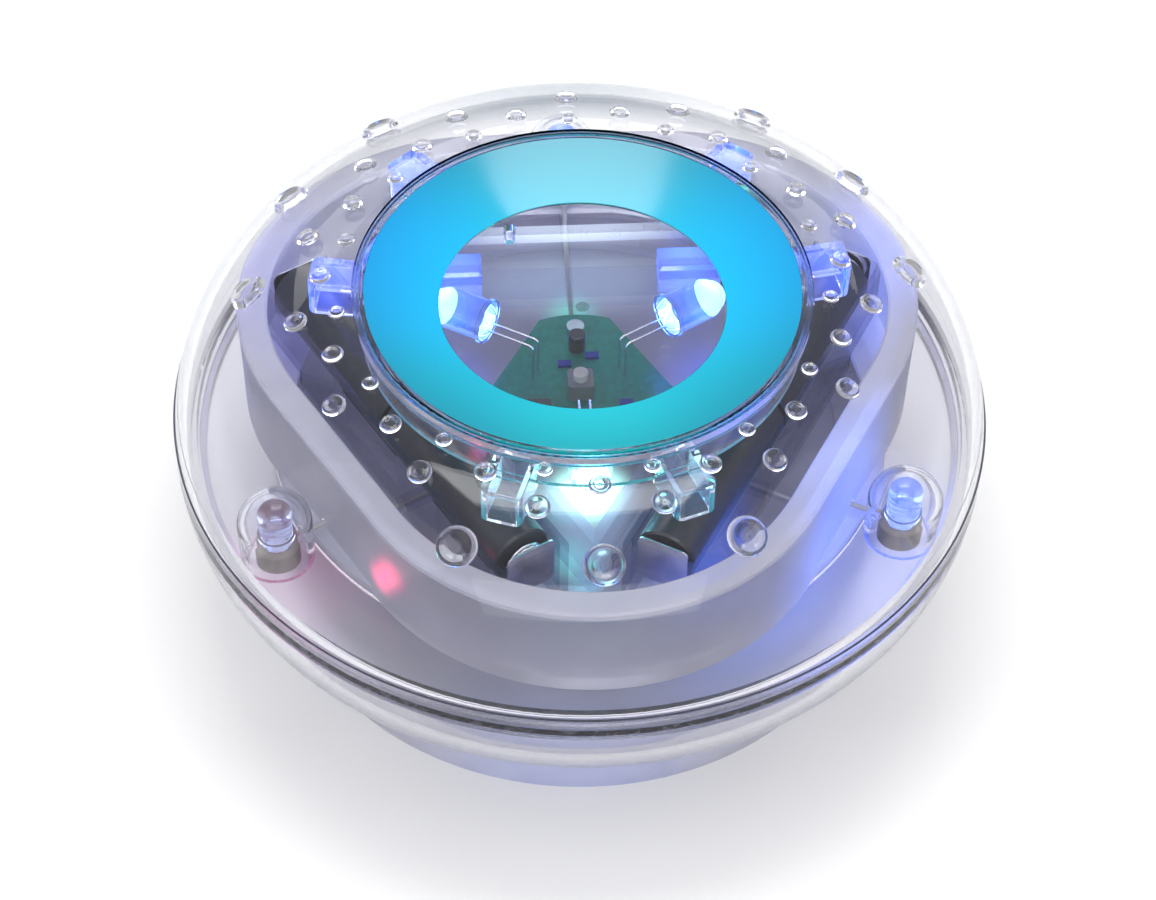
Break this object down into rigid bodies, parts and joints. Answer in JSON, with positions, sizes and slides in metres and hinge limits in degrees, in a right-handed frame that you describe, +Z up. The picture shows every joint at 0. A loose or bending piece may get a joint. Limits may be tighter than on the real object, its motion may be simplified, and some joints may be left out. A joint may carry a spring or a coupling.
{
  "type": "floating pool light",
  "caption": "Round clear floating light for a pool or spa, with a press-down top and a sealed rounded-triangle battery tub on a round foot.",
  "frame": {"origin": "centre of the round foot ring that the light stands on", "axes": "+Z up through the button; -Y towards the front corner of the rounded-triangle tub"},
  "size_m": [0.19, 0.19, 0.0929],
  "materials": {
    "clear_shell": "clear injection-moulded polycarbonate",
    "frosted_shell": "frosted injection-moulded polycarbonate",
    "clear_inner": "clear moulded acrylic",
    "button_ring": "gloss teal moulded ring",
    "seal_rubber": "translucent silicone",
    "gasket_rubber": "dark grey silicone",
    "board": "green solder mask on laminate",
    "component_black": "moulded epoxy package",
    "component_blue": "dipped component body",
    "switch_black": "moulded switch case",
    "plunger_white": "white acetal",
    "screw_steel": "zinc-plated steel",
    "insert_brass": "turned brass",
    "lead_wire": "tinned wire",
    "spring_steel": "nickel-plated spring wire",
    "contact_plate": "nickel-plated strip",
    "holder_beige": "beige nylon",
    "wire_jacket": "white insulated lead",
    "cell_wrap": "dark printed sleeve, print left out",
    "foam": "closed-cell foam",
    "led_blue": "clear epoxy lens, lit blue",
    "led_cyan": "clear epoxy lens, lit cyan",
    "led_pink": "clear epoxy lens, dimly lit pink"
  },
  "bodies": {
    "housing": {"base_skirt": "frosted_shell", "battery_tray": "clear_inner", "battery_tub": "frosted_shell", "board_led_1": "led_blue", "board_led_2": "led_blue", "board_led_3": "led_cyan", "board_led_legs_1": "lead_wire", "board_led_legs_2": "lead_wire", "board_led_legs_3": "lead_wire", "board_screws": "screw_steel", "button_seal": "seal_rubber", "cell_1": "cell_wrap", "cell_2": "cell_wrap", "cell_3": "cell_wrap", "cell_4": "cell_wrap", "contact_plates": "contact_plate", "contact_spring_1": "spring_steel", "contact_spring_2": "spring_steel", "control_chip": "component_black", "door_seat": "frosted_shell", "lamp_deck": "clear_inner", "lamp_pod_1": "clear_inner", "lamp_pod_2": "clear_inner", "lamp_pod_3": "clear_inner", "lamp_screen": "clear_inner", "light_guides": "clear_inner", "lower_bowl": "clear_shell", "main_board": "board", "pod_holder_1": "holder_beige", "pod_holder_2": "holder_beige", "pod_holder_3": "holder_beige", "pod_led_1": "led_blue", "pod_led_2": "led_pink", "pod_led_3": "led_blue", "pod_legs_1": "lead_wire", "pod_legs_2": "lead_wire", "pod_legs_3": "lead_wire", "pod_wire_1": "wire_jacket", "pod_wire_2": "wire_jacket", "pod_wire_3": "wire_jacket", "rear_rail": "clear_inner", "resistors": "component_blue", "screw_inserts": "insert_brass", "seam_gasket": "gasket_rubber", "storage_capacitor": "component_black", "switch_body": "switch_black", "switch_spring": "spring_steel", "tub_rim": "frosted_shell", "upper_dome": "clear_shell"},
    "button": {"button_cap": "clear_shell", "button_ring": "button_ring", "switch_pusher": "clear_inner"},
    "plunger": {"switch_plunger": "plunger_white"},
    "door": {"battery_door": "frosted_shell", "door_gasket": "gasket_rubber", "door_pads": "foam", "door_screws": "screw_steel"}
  },
  "joints": [
    {"name": "button_press", "type": "slide", "parent": "housing", "child": "button", "axis": [0, 0, -1], "range_m": [0, 0.002], "stiffness_N_per_m": 900, "springref_m": -0.001, "deforming": ["button_seal"]},
    {"name": "switch_press", "type": "slide", "parent": "housing", "child": "plunger", "axis": [0, 0, -1], "range_m": [0, 0.002], "stiffness_N_per_m": 5, "deforming": ["switch_spring"]},
    {"name": "door_draw", "type": "slide", "parent": "housing", "child": "door", "axis": [0, 0, -1], "range_m": [0, 0.034]}
  ],
  "couplings": [
    {"joint": "switch_press", "follows": "button_press", "ratio": 1}
  ]
}
